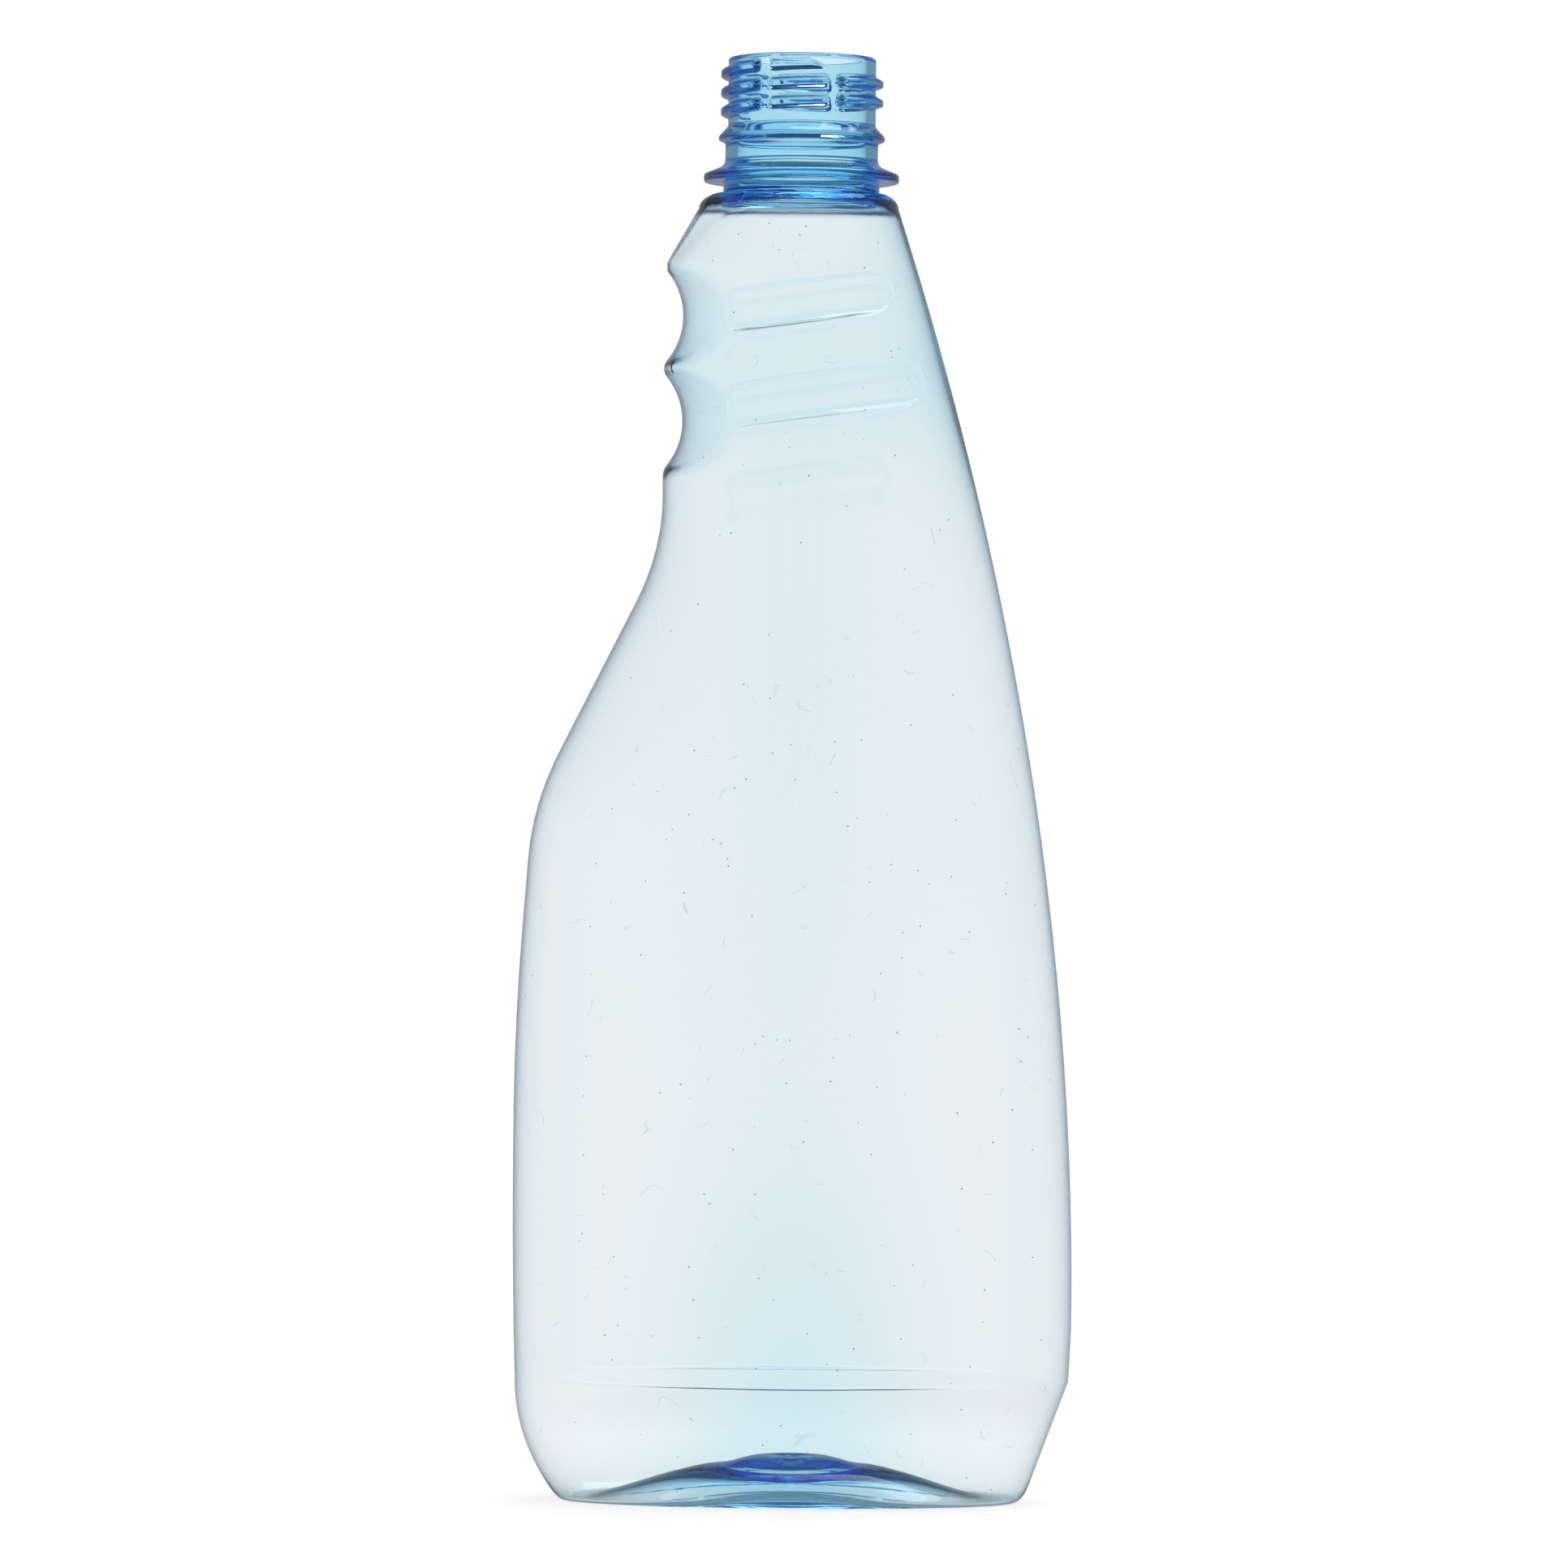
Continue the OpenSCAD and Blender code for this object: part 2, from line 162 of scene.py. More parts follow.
def frontX(z):
    # front edge of the side view: straight stretches, each corner a ramp, less the heel's draw-in
    b = bodyShape
    slope = math.tan(math.radians(b["flankAngle"]))
    brow = math.tan(math.radians(b["browAngle"]))
    leaned = b["bellyLean"] * (b["flankZ"] - b["bellyHighZ"])
    gripZ = b["flankZ"] + (b["halfWidth"] - b["gripFront"] - leaned) / slope
    browZ = shoulderZ - (b["gripFront"] - b["shoulderBack"] - b["browEase"]) / brow
    zz = np.maximum(z, baseShape["heelHeight"])
    return (-b["halfWidth"] + b["bellyToe"] * ramp(b["bellyLowZ"] - zz, b["bellyRound"])
            + b["bellyLean"] * ramp(z - b["bellyHighZ"], b["bellyRound"])
            + (slope - b["bellyLean"]) * ramp(z - b["flankZ"], b["flankRound"])
            - slope * ramp(z - gripZ, b["flankRound"])
            + brow * ramp(z - browZ, b["browRound"])
            + baseShape["heelFrontIn"] * heelShare(z) ** baseShape["heelFrontBend"])


def backX(z):
    # back edge: a power curve above its widest height, a shallow parabola and the heel's straight slope below
    b = bodyShape
    heelZ = baseShape["heelHeight"]
    up = np.clip((z - b["backWideZ"]) / (shoulderZ - b["backWideZ"]), 0, None)
    down = np.clip((b["backWideZ"] - np.maximum(z, heelZ)) / (b["backWideZ"] - heelZ), 0, 1)
    return (b["halfWidth"] - (b["halfWidth"] - b["shoulderBack"]) * up ** b["backBend"]
            - b["backToe"] * down ** 2 - baseShape["heelBackIn"] * heelShare(z))


def faceY(z):
    # half the depth: full over the belly, drawn in by a power curve to the shoulder and by the heel
    b = bodyShape
    t = np.clip((z - b["deepZ"]) / (shoulderZ - b["deepZ"]), 0, 1)
    return (b["halfDepth"] - (b["halfDepth"] - b["shoulderDepth"] / 2) * t ** b["depthBend"]
            - baseShape["heelFaceIn"] * heelShare(z) ** baseShape["heelFaceBend"])


def ovalPlan(x0, x1, y1, power, a):
    # superellipse between x0 and x1, half as deep as y1
    x = (x0 + x1) / 2 + (x1 - x0) / 2 * signedPower(np.cos(a), 2 / power)
    return x, y1 * signedPower(np.sin(a), 2 / power)


def groovesX(z):
    # front of the two finger grooves: arcs of one radius about points in front of the grip; far out elsewhere
    g = gripShape
    middle = -(bodyShape["gripFront"] - g["grooveDepth"]) - g["grooveRadius"]
    x = np.full_like(z, -farOut)
    for k in range(2):
        d = z - (shoulderZ - g["drop"] - k * g["pitch"])
        arc = middle + np.sqrt(np.maximum(g["grooveRadius"] ** 2 - d * d, 0))
        x = np.where(np.abs(d) < g["grooveRadius"] * g["grooveHalf"], np.maximum(x, arc), x)
    return x


def creaseY(x, z, power):
    # facet beside the front edge above the grip: a chord of the plan that widens with the height over creaseZ
    b = bodyShape
    wide = np.maximum(b["creaseWidth"] * (z - b["creaseZ"]) / (shoulderZ - b["creaseZ"]), 1e-3)
    front, back = frontX(z), backX(z)
    u = np.clip(1 - 2 * wide / (back - front), 0, 1)
    y = faceY(z) * (1 - u ** power) ** (1 / power)
    chord = y * (b["creaseNose"] + (1 - b["creaseNose"]) * (x - front) / wide)
    return np.where(wide > b["creaseLeast"], chord, farOut)


def recessShare(x, z, edge, scaled=False):
    # slanted boxes with edges of the given width, each 0 to 1, or scaled by its depth, added up
    g = gripShape
    lower = shoulderZ - g["drop"] - g["pitch"]
    out = np.zeros_like(x)
    for rise, back, deep in g["recesses"]:
        up = z - (lower + rise) - (x - g["recessFront"]) * math.tan(math.radians(g["recessTilt"]))
        # the back end is round, so the box narrows there by a circle
        past = np.clip((x - (back - g["recessHeight"] / 2)) / (g["recessHeight"] / 2), 0, 1)
        half = g["recessHeight"] / 2 * np.sqrt(np.clip(1 - past ** 2, 0, 1))
        share = smooth((x - g["recessFront"]) / edge) * smooth((half - np.abs(up)) / edge)
        out += share * (deep if scaled else 1)
    return out


def panelShare(x, z):
    # 0 below the label panel's lower edge, 1 above it, fading out towards the sides and upwards
    b = baseShape
    return (smooth((z - b["heelHeight"]) / b["panelEdge"])
            * smooth((b["panelFadeFrom"] + b["panelFade"] - np.abs(x)) / b["panelFade"])
            * np.clip((shoulderZ - z) / b["panelRise"], 0, 1))


def bodyRings(z):
    # one superellipse for each height, cut by the grooves and dented by the recesses and the label panel
    b, g = bodyShape, gripShape
    z = z[:, None] + 0 * angles[None, :]
    # over the grip the rows slant as the recesses do, so that their edges run along the rows
    share = smooth((z - b["slantFromZ"]) / b["slantEase"]) * smooth((b["slantToZ"] - z) / b["slantEase"])
    along = frontX(z) * (1 - np.cos(angles)) + backX(z) * (1 + np.cos(angles))
    z = z + share * math.tan(math.radians(g["recessTilt"])) * along / 2
    a = angles[None, :] + 0 * z
    rounder = smooth((z - b["roundFromZ"]) / (shoulderZ - b["roundFromZ"]))
    power = b["squareness"] + (2 - b["squareness"]) * rounder
    x, y = ovalPlan(frontX(z), backX(z), faceY(z), power, a)
    y = np.sign(y) * np.minimum(np.abs(y), creaseY(x, z, power))
    cut = groovesX(z) + y * y / (2 * g["grooveWrap"])
    x = softMax(x, cut, g["edgeSoft"])
    dent = recessShare(x, z, g["recessEdge"], True) + baseShape["panelStep"] * panelShare(x, z)
    y = y - np.sign(y) * dent * np.abs(np.sin(a))
    return np.stack([x, y, z], -1)


def shoulderRings(t):
    # quarter ellipse from the top of the body, at t = 0, in to the foot of the neck, at t = 1
    top = bodyRings(np.array([shoulderZ]))
    inward = (1 - np.cos(np.pi / 2 * t))[:, None]
    r = neckShape["neckRadius"]
    x = top[0, :, 0] + (r * np.cos(angles) - top[0, :, 0]) * inward
    y = top[0, :, 1] + (r * np.sin(angles) - top[0, :, 1]) * inward
    z = (shoulderZ + bodyShape["shoulderHeight"] * np.sin(np.pi / 2 * t))[:, None] + 0 * x
    return np.stack([x, y, z], -1)


def footOval(even, early):
    # plan of the heel's foot, drawn in evenly, and by "early" times the heel's slope on each side
    r = np.array([[baseShape["footRound"]]])
    even, early = np.asarray(even)[:, None], np.asarray(early)[:, None]
    step = 0.1
    front = even + early * (frontX(r) - frontX(r + step)) / step
    back = even + early * (backX(r + step) - backX(r)) / step
    face = even + early * (faceY(r + step) - faceY(r)) / step
    return ovalPlan(frontX(r) + front, backX(r) - back, faceY(r) - face, bodyShape["squareness"],
                    angles[None, :] + 0 * even)


def footRings(t):
    # parabola that leaves the heel along its slope, at t = 0, and ends level on the standing ring, at t = 1
    r = baseShape["footRound"]
    x, y = footOval(r * t * t, 2 * r * t * (1 - t))
    z = (r * (1 - t) ** 2)[:, None] + 0 * x
    return np.stack([x, y, z], -1)


def pushupTop():
    # height of the push-up at the edge of its thick centre: a saddle, higher at the front and back
    b = baseShape
    return b["pushupHeight"] * (1 + b["pushupSaddle"] * np.cos(2 * angles))


def pushupRings(t):
    # from the standing ring's oval, at t = 0, to the thick centre's circle, at t = 1, rising as smooth(t)
    b = baseShape
    x0, y0 = footOval([b["footRound"] + b["standWidth"]], [0])
    t = t[:, None]
    x = x0 + (b["gateRadius"] * np.cos(angles) - x0) * t
    y = y0 + (b["gateRadius"] * np.sin(angles) - y0) * t
    return np.stack([x, y, pushupTop() * smooth(t)], -1)


def gateRings(r):
    # circles of the thick centre: the saddle eases to a level middle, with faint ripples and a nub
    b = baseShape
    r = r[:, None]
    share = r / b["gateRadius"]
    middle = b["pushupHeight"] + b["gateRise"]
    z = pushupTop() + (middle - pushupTop()) * smooth(2 * (1 - share))
    z = z + b["gateRipple"] * np.sin(2 * np.pi * b["gateRipples"] * share) * smooth(4 * (1 - share))
    z = z - b["nubHeight"] * smooth((b["nubRadius"] + b["nubEdge"] - r) / b["nubEdge"])
    return np.stack([r * np.cos(angles), r * np.sin(angles), z + 0 * r], -1)


def roundedProfile(points, radii, steps=4):
    # the polyline with each corner replaced by a parabola that starts and ends one radius from it
    p = np.array(points, float)
    out = [p[:1]]
    t = np.linspace(0, 1, steps)[:, None]
    for before, corner, after, r in zip(p[:-2], p[1:-1], p[2:], radii):
        a = before - corner
        b = after - corner
        la, lb = np.linalg.norm(a), np.linalg.norm(b)
        a = corner + a / la * min(r, la / 2)
        b = corner + b / lb * min(r, lb / 2)
        out.append(a * (1 - t) ** 2 + 2 * corner * t * (1 - t) + b * t ** 2)
    out.append(p[-1:])
    return np.concatenate(out)


def denser(profile, step):
    # the same polyline with points at most one step apart
    out = [profile[:1]]
    for a, b in zip(profile[:-1], profile[1:]):
        n = max(1, int(math.ceil(np.linalg.norm(b - a) / step)))
        t = (np.arange(n)[:, None] + 1) / n
        out.append(a + (b - a) * t)
    return np.concatenate(out)


def threadHeight(z):
    # each rib is a rounded rectangle laid along the helix, as high as smooth() of the depth inside its edge
    s = threadShape
    place = np.degrees(angles) + 90
    arc = math.radians(1) * neckShape["threadRadius"]
    gap = np.min([np.abs((place - v + 180) % 360 - 180) for v in s["vents"]], axis=0)
    toVent = (gap - s["ventWidth"] / 2) * arc
    best = np.zeros((len(z), columns))
    for turn in range(math.ceil(s["turns"])):
        down = (s["startsAt"] - place) % 360 + 360 * turn
        tip = np.sqrt(np.clip(down / s["startPoint"], 0, 1))
        full = smooth((down - s["startPoint"]) / s["startTaper"])
        half = s["foot"] / 2 * (s["startSlim"] * tip + (1 - s["startSlim"]) * full)
        # the pointed start keeps the rib's lower edge on the helix
        middle = rimZ - s["start"] - s["pitch"] * down / 360 - (s["foot"] / 2 - half)
        off = z[:, None] - middle
        toEnd = (360 * s["turns"] - down) * arc
        along = s["corner"] - np.minimum(toVent, toEnd) + 0 * off
        across = np.abs(off) - half + s["corner"]
        outside = (np.hypot(np.maximum(along, 0), np.maximum(across, 0))
                   + np.minimum(np.maximum(along, across), 0) - s["corner"])
        flank = np.where(off < 0, s["lowFlank"], s["highFlank"])
        best = np.maximum(best, smooth(-outside / flank) * (s["startSlim"] + (1 - s["startSlim"]) * full))
    return best * (neckShape["threadRadius"] - neckShape["rootRadius"])


def neckOutside():
    # profile of the neck turned about its axis, with the thread added to the radius of its wall
    n = neckShape
    beadZ = ringZ + n["beadAboveRing"]
    top = ringZ + n["ringThick"]
    slopeTop = beadZ + n["beadSlope"]
    wallLow = slopeTop + 1
    corners = [
        (n["neckRadius"], neckFootZ), (n["neckRadius"], ringZ), (n["ringRadius"], ringZ),
        (n["ringRadius"], top), (n["collarRadius"] + n["flareOut"], top + n["flareLow"]),
        (n["collarRadius"], top + n["flareHigh"]), (n["collarRadius"], beadZ - n["beadLow"]),
        (n["beadRadius"], beadZ - n["beadFlat"][0]), (n["beadRadius"], beadZ + n["beadFlat"][1]),
        (n["rootRadius"] + n["beadToe"][0], slopeTop - n["beadToe"][1]), (n["rootRadius"], slopeTop),
        (n["rootRadius"], wallLow), (n["rootRadius"], rimZ), (n["boreRadius"] + n["lip"], rimZ),
    ]
    profile = denser(roundedProfile(corners, n["cornerRadii"]), n["profileStep"])
    # close rows over the thread
    lowEnd = profile[profile[:, 1] < wallLow - 0.05]
    highEnd = profile[profile[:, 1] > rimZ - 0.55]
    rows = np.linspace(wallLow, rimZ - 0.6, threadShape["rows"])
    middle = np.stack([np.full_like(rows, n["rootRadius"]), rows], -1)
    profile = np.concatenate([lowEnd, middle, highEnd])
    r = profile[:, :1] + np.where((profile[:, 1] > wallLow - 0.05)[:, None], threadHeight(profile[:, 1]), 0)
    z = profile[:, 1:] + 0 * r
    return np.stack([r * np.cos(angles), r * np.sin(angles), z], -1)


def turnedRings(r, z):
    # a circle for each radius and height
    r = np.asarray(r, float)[:, None]
    z = np.asarray(z, float)[:, None]
    return np.stack([r * np.cos(angles), r * np.sin(angles), z + 0 * r * angles], -1)


def bump(t):
    # the bell curve exp(-t^2)
    return np.exp(-t * t)


def ridge(t):
    # 4t(1 - t): 0 off a slope and at its foot and head, 1 half way up
    t = np.clip(t, 0, 1)
    return 4 * t * (1 - t)


def wallAt(points):
    # the even skin plus a bell curve or an easing for each thicker place
    w = wallShape
    x, y, z = points[..., 0], points[..., 1], points[..., 2]
    upper = smooth((z - w["backFrom"]) / (w["backFull"] - w["backFrom"]))
    # the lower end of the thick shoulder is uneven
    many, more = w["shoulderWaves"]
    wave = w["shoulderWave"] * (np.sin(many * angles) + np.sin(more * angles + 1))
    neckShare = smooth((z + wave - neckFootZ - w["shoulderFrom"]) / (w["shoulderFull"] - w["shoulderFrom"]))
    # the panel's edge is uneven in the middle of the far face
    short, long = w["panelWaves"]
    uneven = w["panelUneven"] * (y > 0) * bump(x / w["panelUnevenWidth"])
    uneven = 1 + uneven * (1 + 0.5 * np.sin(short * x) * np.sin(long * x))
    # 0 in a groove, and more with the distance behind it
    toGroove = x - groovesX(z) - y * y / (2 * gripShape["grooveWrap"])
    return (w["skin"] + w["middle"] * bump(x / w["middleWidth"])
            + w["low"] * bump(z / w["lowHeight"]) * bump(x / w["lowWidth"])
            + w["grip"] * smooth((z - w["gripFrom"]) / (w["gripFull"] - w["gripFrom"]))
            + w["belt"] * bump((z - w["beltZ"]) / w["beltHeight"])
            + w["back"] * upper * np.clip(np.cos(angles), 0, 1) ** w["backPower"]
            + w["shoulder"] * neckShare
            + w["groove"] * bump(toGroove / w["grooveWidth"])
            + w["edge"] * ridge(recessShare(x, z, w["edgeWidth"]))
            + w["panelEdge"] * uneven * ridge(panelShare(x, z))
            + (w["foot"] + w["footMiddle"] * bump(x / w["footSpread"])) * bump(z / w["footFade"]))


def baseWall(points, r):
    # the push-up's own wall, which swells to the thick centre
    w = wallShape
    swell = smooth(w["gateSwell"] * (1 - r / baseShape["gateRadius"]))
    wall = w["pushup"] + w["footMiddle"] * bump(points[..., 0] / w["footSpread"]) * (1 - swell)
    return wall + (w["gate"] - w["pushup"]) * swell


def gridNormals(grid):
    # cross product of the steps along the rows and round the columns
    down = np.gradient(grid, axis=0)
    around = np.roll(grid, -1, 1) - np.roll(grid, 1, 1)
    n = np.cross(around, down)
    return n / np.maximum(np.linalg.norm(n, axis=-1, keepdims=True), 1e-9)


def meshFromGrid(name, grid, startPole, endPole):
    # quads between neighbouring rows and columns, and a fan of triangles at each pole
    rows = len(grid)
    points = np.concatenate([grid.reshape(-1, 3), [startPole], [endPole]]) * mm
    i = np.arange(rows - 1)[:, None] * columns
    j = np.arange(columns)[None, :]
    k = (j + 1) % columns
    quads = np.stack([i + j, i + k, i + columns + k, i + columns + j], -1).reshape(-1, 4)
    c = np.arange(columns)
    d = (c + 1) % columns
    last = (rows - 1) * columns
    fans = np.concatenate([
        np.stack([d, c, np.full_like(c, rows * columns)], -1),
        np.stack([last + c, last + d, np.full_like(c, rows * columns + 1)], -1),
    ])
    mesh = bpy.data.meshes.new(name)
    mesh.from_pydata(points.tolist(), [], quads.tolist() + fans.tolist())
    mesh.polygons.foreach_set("use_smooth", np.ones(len(mesh.polygons), bool))
    mesh.update()
    piece = bpy.data.objects.new(name, mesh)
    bpy.context.scene.collection.objects.link(piece)
    return piece


# Rows of the bottle's mesh
rowPlan = {
    "gateRadii": (0.6, 1.4, 1.8, 1.95, 2.1, 3.0, 4.2, 5.4, 6.4, 7.2, 8.0, 8.8, 9.6, 10.4, 11.1),
    "pushup": 13, "foot": 7, "heel": 10, "heelTo": -0.4,
    # heights over the heel, then over the ground: start, end and count
    "panelEdge": (-0.15, 0.8, 7), "bellyFrom": 1.4, "belly": (104, 12),
    "flank": (108, 128, 7), "throat": (131, 150, 5), "lowGrip": (153, 167, 6),
    "grip": (168.6, 206.6, 0.75), "brow": (207.4, 12), "shoulder": 9,
    # depths under the rim, heights over the bore's end, and how far its two ends widen
    "bore": 5, "boreTop": (0.05, 0.35, 1), "boreFoot": (1.0, 0.3), "boreFlare": (0.3, 0.1),
    "boreBelowNeck": 0.2,
}


def makeBottle():
    # one closed skin: centre of the base, up the outside, over the rim, down the bore and the inside
    b, n, rows = baseShape, neckShape, rowPlan
    gate = gateRings(np.array(rows["gateRadii"]))
    pushup = pushupRings(np.linspace(1, 0, rows["pushup"]))
    foot = footRings(np.linspace(1, 0, rows["foot"]))
    h = b["heelHeight"]
    body = bodyRings(np.concatenate([
        np.linspace(b["footRound"], h + rows["heelTo"], rows["heel"])[1:],
        h + np.linspace(*rows["panelEdge"]),
        np.linspace(h + rows["bellyFrom"], *rows["belly"]),
        np.linspace(*rows["flank"]), np.linspace(*rows["throat"]), np.linspace(*rows["lowGrip"]),
        np.arange(*rows["grip"]),
        np.linspace(rows["brow"][0], shoulderZ, rows["brow"][1]),
    ]))
    shoulder = shoulderRings(np.linspace(0, 1, rows["shoulder"])[1:-1])
    neck = neckOutside()
    blown = np.concatenate([gate, pushup, foot, body, shoulder])
    outside = np.concatenate([blown, neck])
    # the inner skin is the blown part moved inwards along its normals
    normals = gridNormals(outside)[: len(blown)]
    wall = wallAt(blown)
    r = np.hypot(blown[:, :, 0], blown[:, :, 1])
    under = len(gate) + len(pushup)
    # the two walls meet over the standing ring
    share = smooth((np.arange(under) - len(gate)) / len(pushup))[:, None]
    wall[:under] = baseWall(blown, r)[:under] * (1 - share) + wall[:under] * share
    inner = blown - normals * wall[..., None]
    # the inner skin needs fewer rows in the middle of the base
    keep = np.ones(len(blown), bool)
    keep[1:len(gate):2] = False
    inner = inner[keep][::-1]
    boreZ = neckFootZ - rows["boreBelowNeck"]
    lip, corner, start = rows["boreTop"]
    end, flare = rows["boreFoot"]
    plain = np.linspace(rimZ - start, boreZ + end, rows["bore"])
    boreHeights = np.concatenate([[rimZ - lip, rimZ - corner], plain, [boreZ + flare]])
    boreRadii = np.full(len(boreHeights), n["boreRadius"])
    boreRadii[[0, -1]] += rows["boreFlare"]
    bore = turnedRings(boreRadii, boreHeights)
    grid = np.concatenate([outside, bore, inner])
    middle = b["pushupHeight"] + b["gateRise"]
    print("bottle grid", grid.shape, "triangles", 2 * (len(grid) - 1) * columns + 2 * columns)
    return meshFromGrid("bottle_skin", grid,
                        (0, 0, middle - b["nubHeight"]), (0, 0, middle + wallShape["gate"]))


# Clear blue plastic
plasticLook = {
    "ior": 1.57, "roughness": 0.02, "density": 250.0, "absorb": (0.03, 0.74, 0.965),
}


def tint(nodes, links, factor, whenOff, whenOn):
    # a colour mix; each colour is three numbers or a socket
    mix = nodes.new("ShaderNodeMix")
    mix.data_type = "RGBA"
    links.new(factor, mix.inputs[0])
    for socket, value in ((mix.inputs[6], whenOff), (mix.inputs[7], whenOn)):
        if isinstance(value, tuple):
            socket.default_value = (*value, 1)
        else:
            links.new(value, socket)
    return mix.outputs[2]


# Dust, fibres and handling marks on it. Scales are cells to the metre.
marksLook = {
    "speckScale": 230, "speckRadius": 0.034, "speckTone": (0.1, 0.18, 0.24),
    "fibreScale": 110, "fibreWidth": 0.004, "fibreTone": (0.78, 0.85, 0.88),
    "fibrePatch": 230, "fibreShare": 0.74,
    "cloudScale": 24, "cloudTone": (0.985, 0.995, 0.99),
}


def marksGroup():
    # colour that multiplies the plastic: white, a faint cloud, thin curved fibres and round specks
    m = marksLook
    tree = bpy.data.node_groups.new("surfaceMarks", "ShaderNodeTree")
    tree.interface.new_socket("Position", in_out="INPUT", socket_type="NodeSocketVector")
    tree.interface.new_socket("Color", in_out="OUTPUT", socket_type="NodeSocketColor")
    nodes = tree.nodes
    links = tree.links
    place = nodes.new("NodeGroupInput").outputs["Position"]

    def noise(scale, detail):
        texture = nodes.new("ShaderNodeTexNoise")
        texture.inputs["Scale"].default_value = scale
        texture.inputs["Detail"].default_value = detail
        links.new(place, texture.inputs["Vector"])
        return texture.outputs[0]

    def mathNode(operation, a, b):
        node = nodes.new("ShaderNodeMath")
        node.operation = operation
        for socket, value in zip(node.inputs, (a, b)):
            if isinstance(value, (int, float)):
                socket.default_value = value
            else:
                links.new(value, socket)
        return node.outputs[0]

    cells = nodes.new("ShaderNodeTexVoronoi")
    cells.inputs["Scale"].default_value = m["speckScale"]
    links.new(place, cells.inputs["Vector"])
    specks = mathNode("LESS_THAN", cells.outputs["Distance"], m["speckRadius"])
    # a fibre is a thin line where one noise crosses a half, kept where another noise is high
    line = mathNode("ABSOLUTE", mathNode("SUBTRACT", noise(m["fibreScale"], 1), 0.5), 0)
    fibres = mathNode("MULTIPLY", mathNode("LESS_THAN", line, m["fibreWidth"]),
                      mathNode("GREATER_THAN", noise(m["fibrePatch"], 0), m["fibreShare"]))
    colour = tint(nodes, links, noise(m["cloudScale"], 3), (1, 1, 1), m["cloudTone"])
    colour = tint(nodes, links, fibres, colour, m["fibreTone"])
    colour = tint(nodes, links, specks, colour, m["speckTone"])
    links.new(colour, nodes.new("NodeGroupOutput").inputs["Color"])
    return tree


def plasticMaterial():
    material = bpy.data.materials.new("clear_blue_plastic")
    material.use_nodes = True
    nodes = material.node_tree.nodes
    links = material.node_tree.links
    shader = nodes["Principled BSDF"]
    marks = nodes.new("ShaderNodeGroup")
    marks.node_tree = marksGroup()
    place = nodes.new("ShaderNodeTexCoord")
    links.new(place.outputs["Object"], marks.inputs["Position"])
    links.new(marks.outputs["Color"], shader.inputs["Base Color"])
    shader.inputs["Roughness"].default_value = plasticLook["roughness"]
    shader.inputs["IOR"].default_value = plasticLook["ior"]
    shader.inputs["Transmission Weight"].default_value = 1.0
    volume = nodes.new("ShaderNodeVolumeAbsorption")
    volume.inputs["Color"].default_value = (*plasticLook["absorb"], 1)
    volume.inputs["Density"].default_value = plasticLook["density"]
    links.new(volume.outputs["Volume"], nodes["Material Output"].inputs["Volume"])
    return material


# Studio: pale floor, white surround, soft lamp
studioLook = {
    "surround": 1.0, "fill": 1.1, "floorShade": 0.2, "board": 0.9, "floorHalf": 40.0,
    # colour of the surround after one reflection, and after more
    "mirroredOnce": (0.34, 0.37, 0.38), "mirroredMore": (0.25, 0.42, 0.68),
    # the surround seen through the plastic darkens between two sines of height to a colour
    "overhead": (0.14, 0.4, (0.02, 0.07, 0.18)), "underfoot": (-0.45, -0.7, (0.08, 0.14, 0.2)),
    # reach of the white floor seen through the plastic, and where it has given way to the surround
    "whiteReach": 0.12, "clearReach": 0.2,
    "lampPlace": (0.3, 0.2, 1.4), "lampSize": (1.2, 1.2), "lampPower": 12, "lampAim": (0, 0, 0.1),
}

# Camera, in metres
cameraPlan = {
    "distance": 1.27, "height": 0.1211, "side": -0.00206, "rollDegrees": 0.5,
    "framePixels": 1932, "pixelsPerMm": 7.29, "sensor": 36, "clipEnd": 50,
}


def choose(nodes, links, factor, whenOff, whenOn):
    # a float mix; each value is a number or a socket
    mix = nodes.new("ShaderNodeMix")
    for socket, value in (("Factor", factor), ("A", whenOff), ("B", whenOn)):
        if isinstance(value, (int, float)):
            mix.inputs[socket].default_value = value
        else:
            links.new(value, mix.inputs[socket])
    return mix.outputs["Result"]


def surroundLevel(nodes, links, other):
    # white to the camera, in reflections and behind the plastic, and "other" for all else
    path = nodes.new("ShaderNodeLightPath")
    level = choose(nodes, links, path.outputs["Is Glossy Ray"], other, 1.0)
    level = choose(nodes, links, path.outputs["Is Transmission Ray"], level, 1.0)
    return choose(nodes, links, path.outputs["Is Camera Ray"], level, studioLook["surround"])


def surroundTint(nodes, links):
    # white where nothing was reflected on the way, a dimmer colour after one reflection, another after more
    path = nodes.new("ShaderNodeLightPath")
    colour = (1, 1, 1)
    for count, name in ((0.5, "mirroredOnce"), (1.5, "mirroredMore")):
        more = nodes.new("ShaderNodeMath")
        more.operation = "GREATER_THAN"
        more.inputs[1].default_value = count
        links.new(path.outputs["Glossy Depth"], more.inputs[0])
        colour = tint(nodes, links, more.outputs[0], colour, studioLook[name])
    return colour


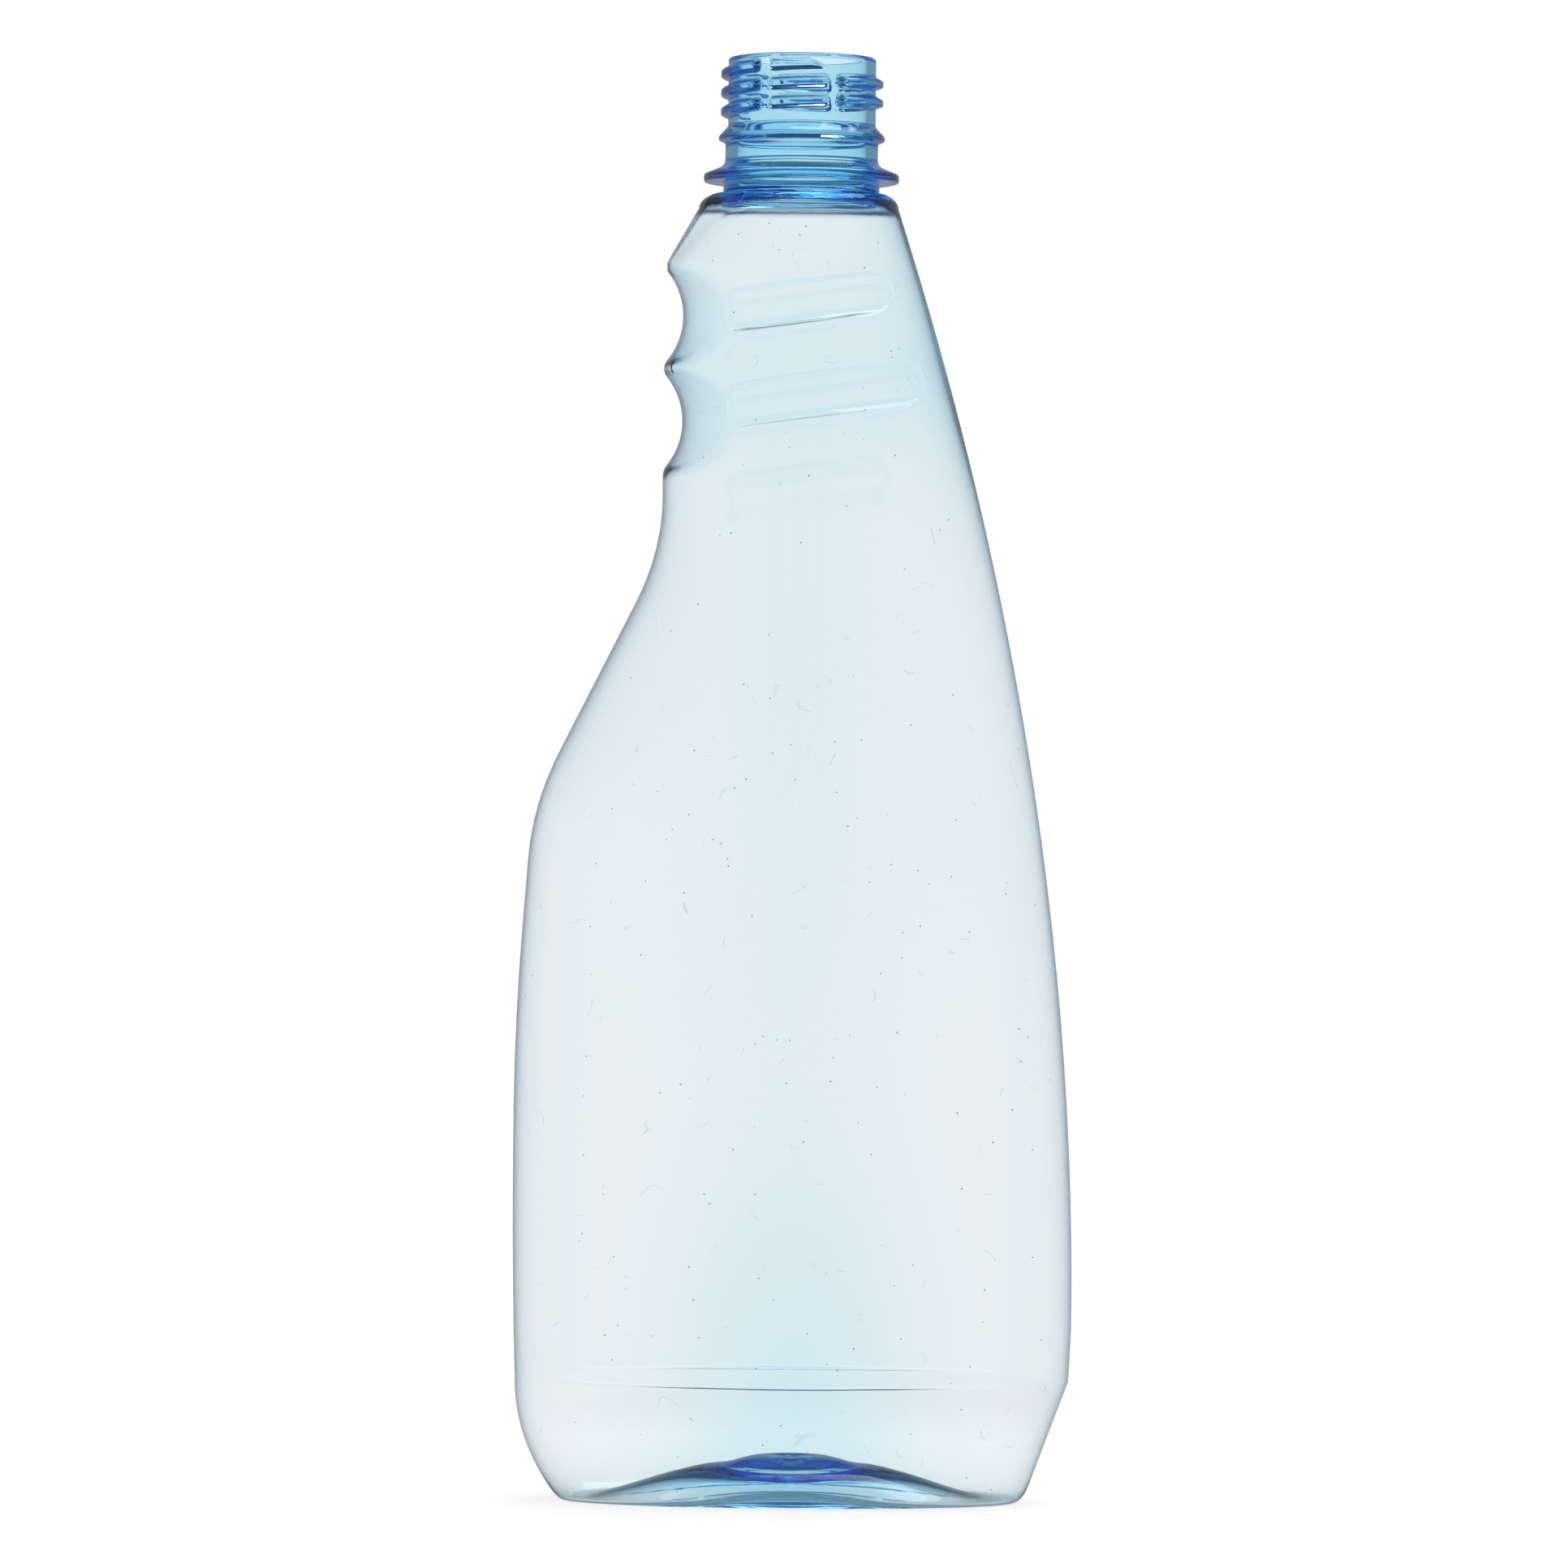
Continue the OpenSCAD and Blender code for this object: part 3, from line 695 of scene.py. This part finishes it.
def makeWorld():
    # white round the horizon, and darker overhead where it is seen through the plastic
    s = studioLook
    world = bpy.data.worlds.new("surround")
    bpy.context.scene.world = world
    world.use_nodes = True
    nodes = world.node_tree.nodes
    links = world.node_tree.links
    background = nodes["Background"]
    path = nodes.new("ShaderNodeLightPath")
    place = nodes.new("ShaderNodeTexCoord")
    split = nodes.new("ShaderNodeSeparateXYZ")
    links.new(place.outputs["Generated"], split.inputs[0])
    colour = surroundTint(nodes, links)
    for start, full, tone in (s["overhead"], s["underfoot"]):
        band = nodes.new("ShaderNodeMapRange")
        band.interpolation_type = "SMOOTHSTEP"
        band.inputs["From Min"].default_value = start
        band.inputs["From Max"].default_value = full
        links.new(path.outputs["Is Transmission Ray"], band.inputs["To Max"])
        links.new(split.outputs["Z"], band.inputs["Value"])
        colour = tint(nodes, links, band.outputs["Result"], colour, tone)
    links.new(colour, background.inputs["Color"])
    links.new(surroundLevel(nodes, links, s["fill"]), background.inputs["Strength"])


def makeFloor():
    # mostly the same white as the surround, with a share of plain pale board that holds the shadow
    s = studioLook
    material = bpy.data.materials.new("pale_floor")
    material.use_nodes = True
    nodes = material.node_tree.nodes
    links = material.node_tree.links
    shader = nodes["Principled BSDF"]
    shader.inputs["Base Color"].default_value = (s["board"], s["board"], s["board"], 1)
    shader.inputs["Roughness"].default_value = 1.0
    shader.inputs["Specular IOR Level"].default_value = 0.0
    glow = nodes.new("ShaderNodeEmission")
    links.new(surroundTint(nodes, links), glow.inputs["Color"])
    links.new(surroundLevel(nodes, links, 0.0), glow.inputs["Strength"])
    path = nodes.new("ShaderNodeLightPath")
    mix = nodes.new("ShaderNodeMixShader")
    links.new(choose(nodes, links, path.outputs["Is Diffuse Ray"], 1 - s["floorShade"], 0.0), mix.inputs[0])
    links.new(shader.outputs[0], mix.inputs[1])
    links.new(glow.outputs[0], mix.inputs[2])
    # behind the plastic the floor is white under the bottle, and farther out it gives way to the surround
    place = nodes.new("ShaderNodeTexCoord")
    reach = nodes.new("ShaderNodeVectorMath")
    reach.operation = "LENGTH"
    links.new(place.outputs["Object"], reach.inputs[0])
    outside = nodes.new("ShaderNodeMapRange")
    outside.inputs["From Min"].default_value = s["whiteReach"]
    outside.inputs["From Max"].default_value = s["clearReach"]
    links.new(reach.outputs["Value"], outside.inputs["Value"])
    clear = nodes.new("ShaderNodeBsdfTransparent")
    both = nodes.new("ShaderNodeMixShader")
    share = choose(nodes, links, path.outputs["Is Transmission Ray"], 0.0, outside.outputs["Result"])
    links.new(share, both.inputs[0])
    links.new(mix.outputs[0], both.inputs[1])
    links.new(clear.outputs[0], both.inputs[2])
    links.new(both.outputs[0], nodes["Material Output"].inputs["Surface"])
    mesh = bpy.data.meshes.new("floor")
    r = s["floorHalf"]
    mesh.from_pydata([(-r, -r, 0), (r, -r, 0), (r, r, 0), (-r, r, 0)], [], [(0, 1, 2, 3)])
    mesh.materials.append(material)
    floor = bpy.data.objects.new("floor", mesh)
    bpy.context.scene.collection.objects.link(floor)


def makeCamera():
    c = cameraPlan
    camera = bpy.data.objects.new("camera", bpy.data.cameras.new("camera"))
    bpy.context.scene.collection.objects.link(camera)
    camera.location = (c["side"], -c["distance"], c["height"])
    camera.rotation_euler = (math.radians(90), math.radians(-c["rollDegrees"]), 0)
    seenWidth = c["framePixels"] / c["pixelsPerMm"] * mm
    camera.data.sensor_width = c["sensor"]
    camera.data.lens = c["sensor"] * c["distance"] / seenWidth
    camera.data.clip_end = c["clipEnd"]
    bpy.context.scene.camera = camera


def softLamp(name, place, size, power, aim):
    # area lamp turned to the point it lights
    lamp = bpy.data.lights.new(name, "AREA")
    lamp.shape = "RECTANGLE"
    lamp.size, lamp.size_y = size
    lamp.energy = power
    lampObject = bpy.data.objects.new(name, lamp)
    bpy.context.scene.collection.objects.link(lampObject)
    lampObject.location = place
    direction = np.array(aim) - np.array(place)
    flat = math.hypot(direction[0], direction[1])
    lampObject.rotation_euler = (math.atan2(flat, -direction[2]), 0, math.atan2(-direction[0], direction[1]))


bottle = makeBottle()
bottle.data.materials.append(plasticMaterial())
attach(bottle, "root")
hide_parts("bottle")
print("bottle made")

makeWorld()
makeFloor()
makeCamera()
softLamp("lampAbove", studioLook["lampPlace"], studioLook["lampSize"],
         studioLook["lampPower"], studioLook["lampAim"])
scene = bpy.context.scene
scene.view_settings.view_transform = "Standard"
scene.cycles.max_bounces = 24
scene.cycles.transmission_bounces = 24
scene.cycles.glossy_bounces = 12
print("studio made")
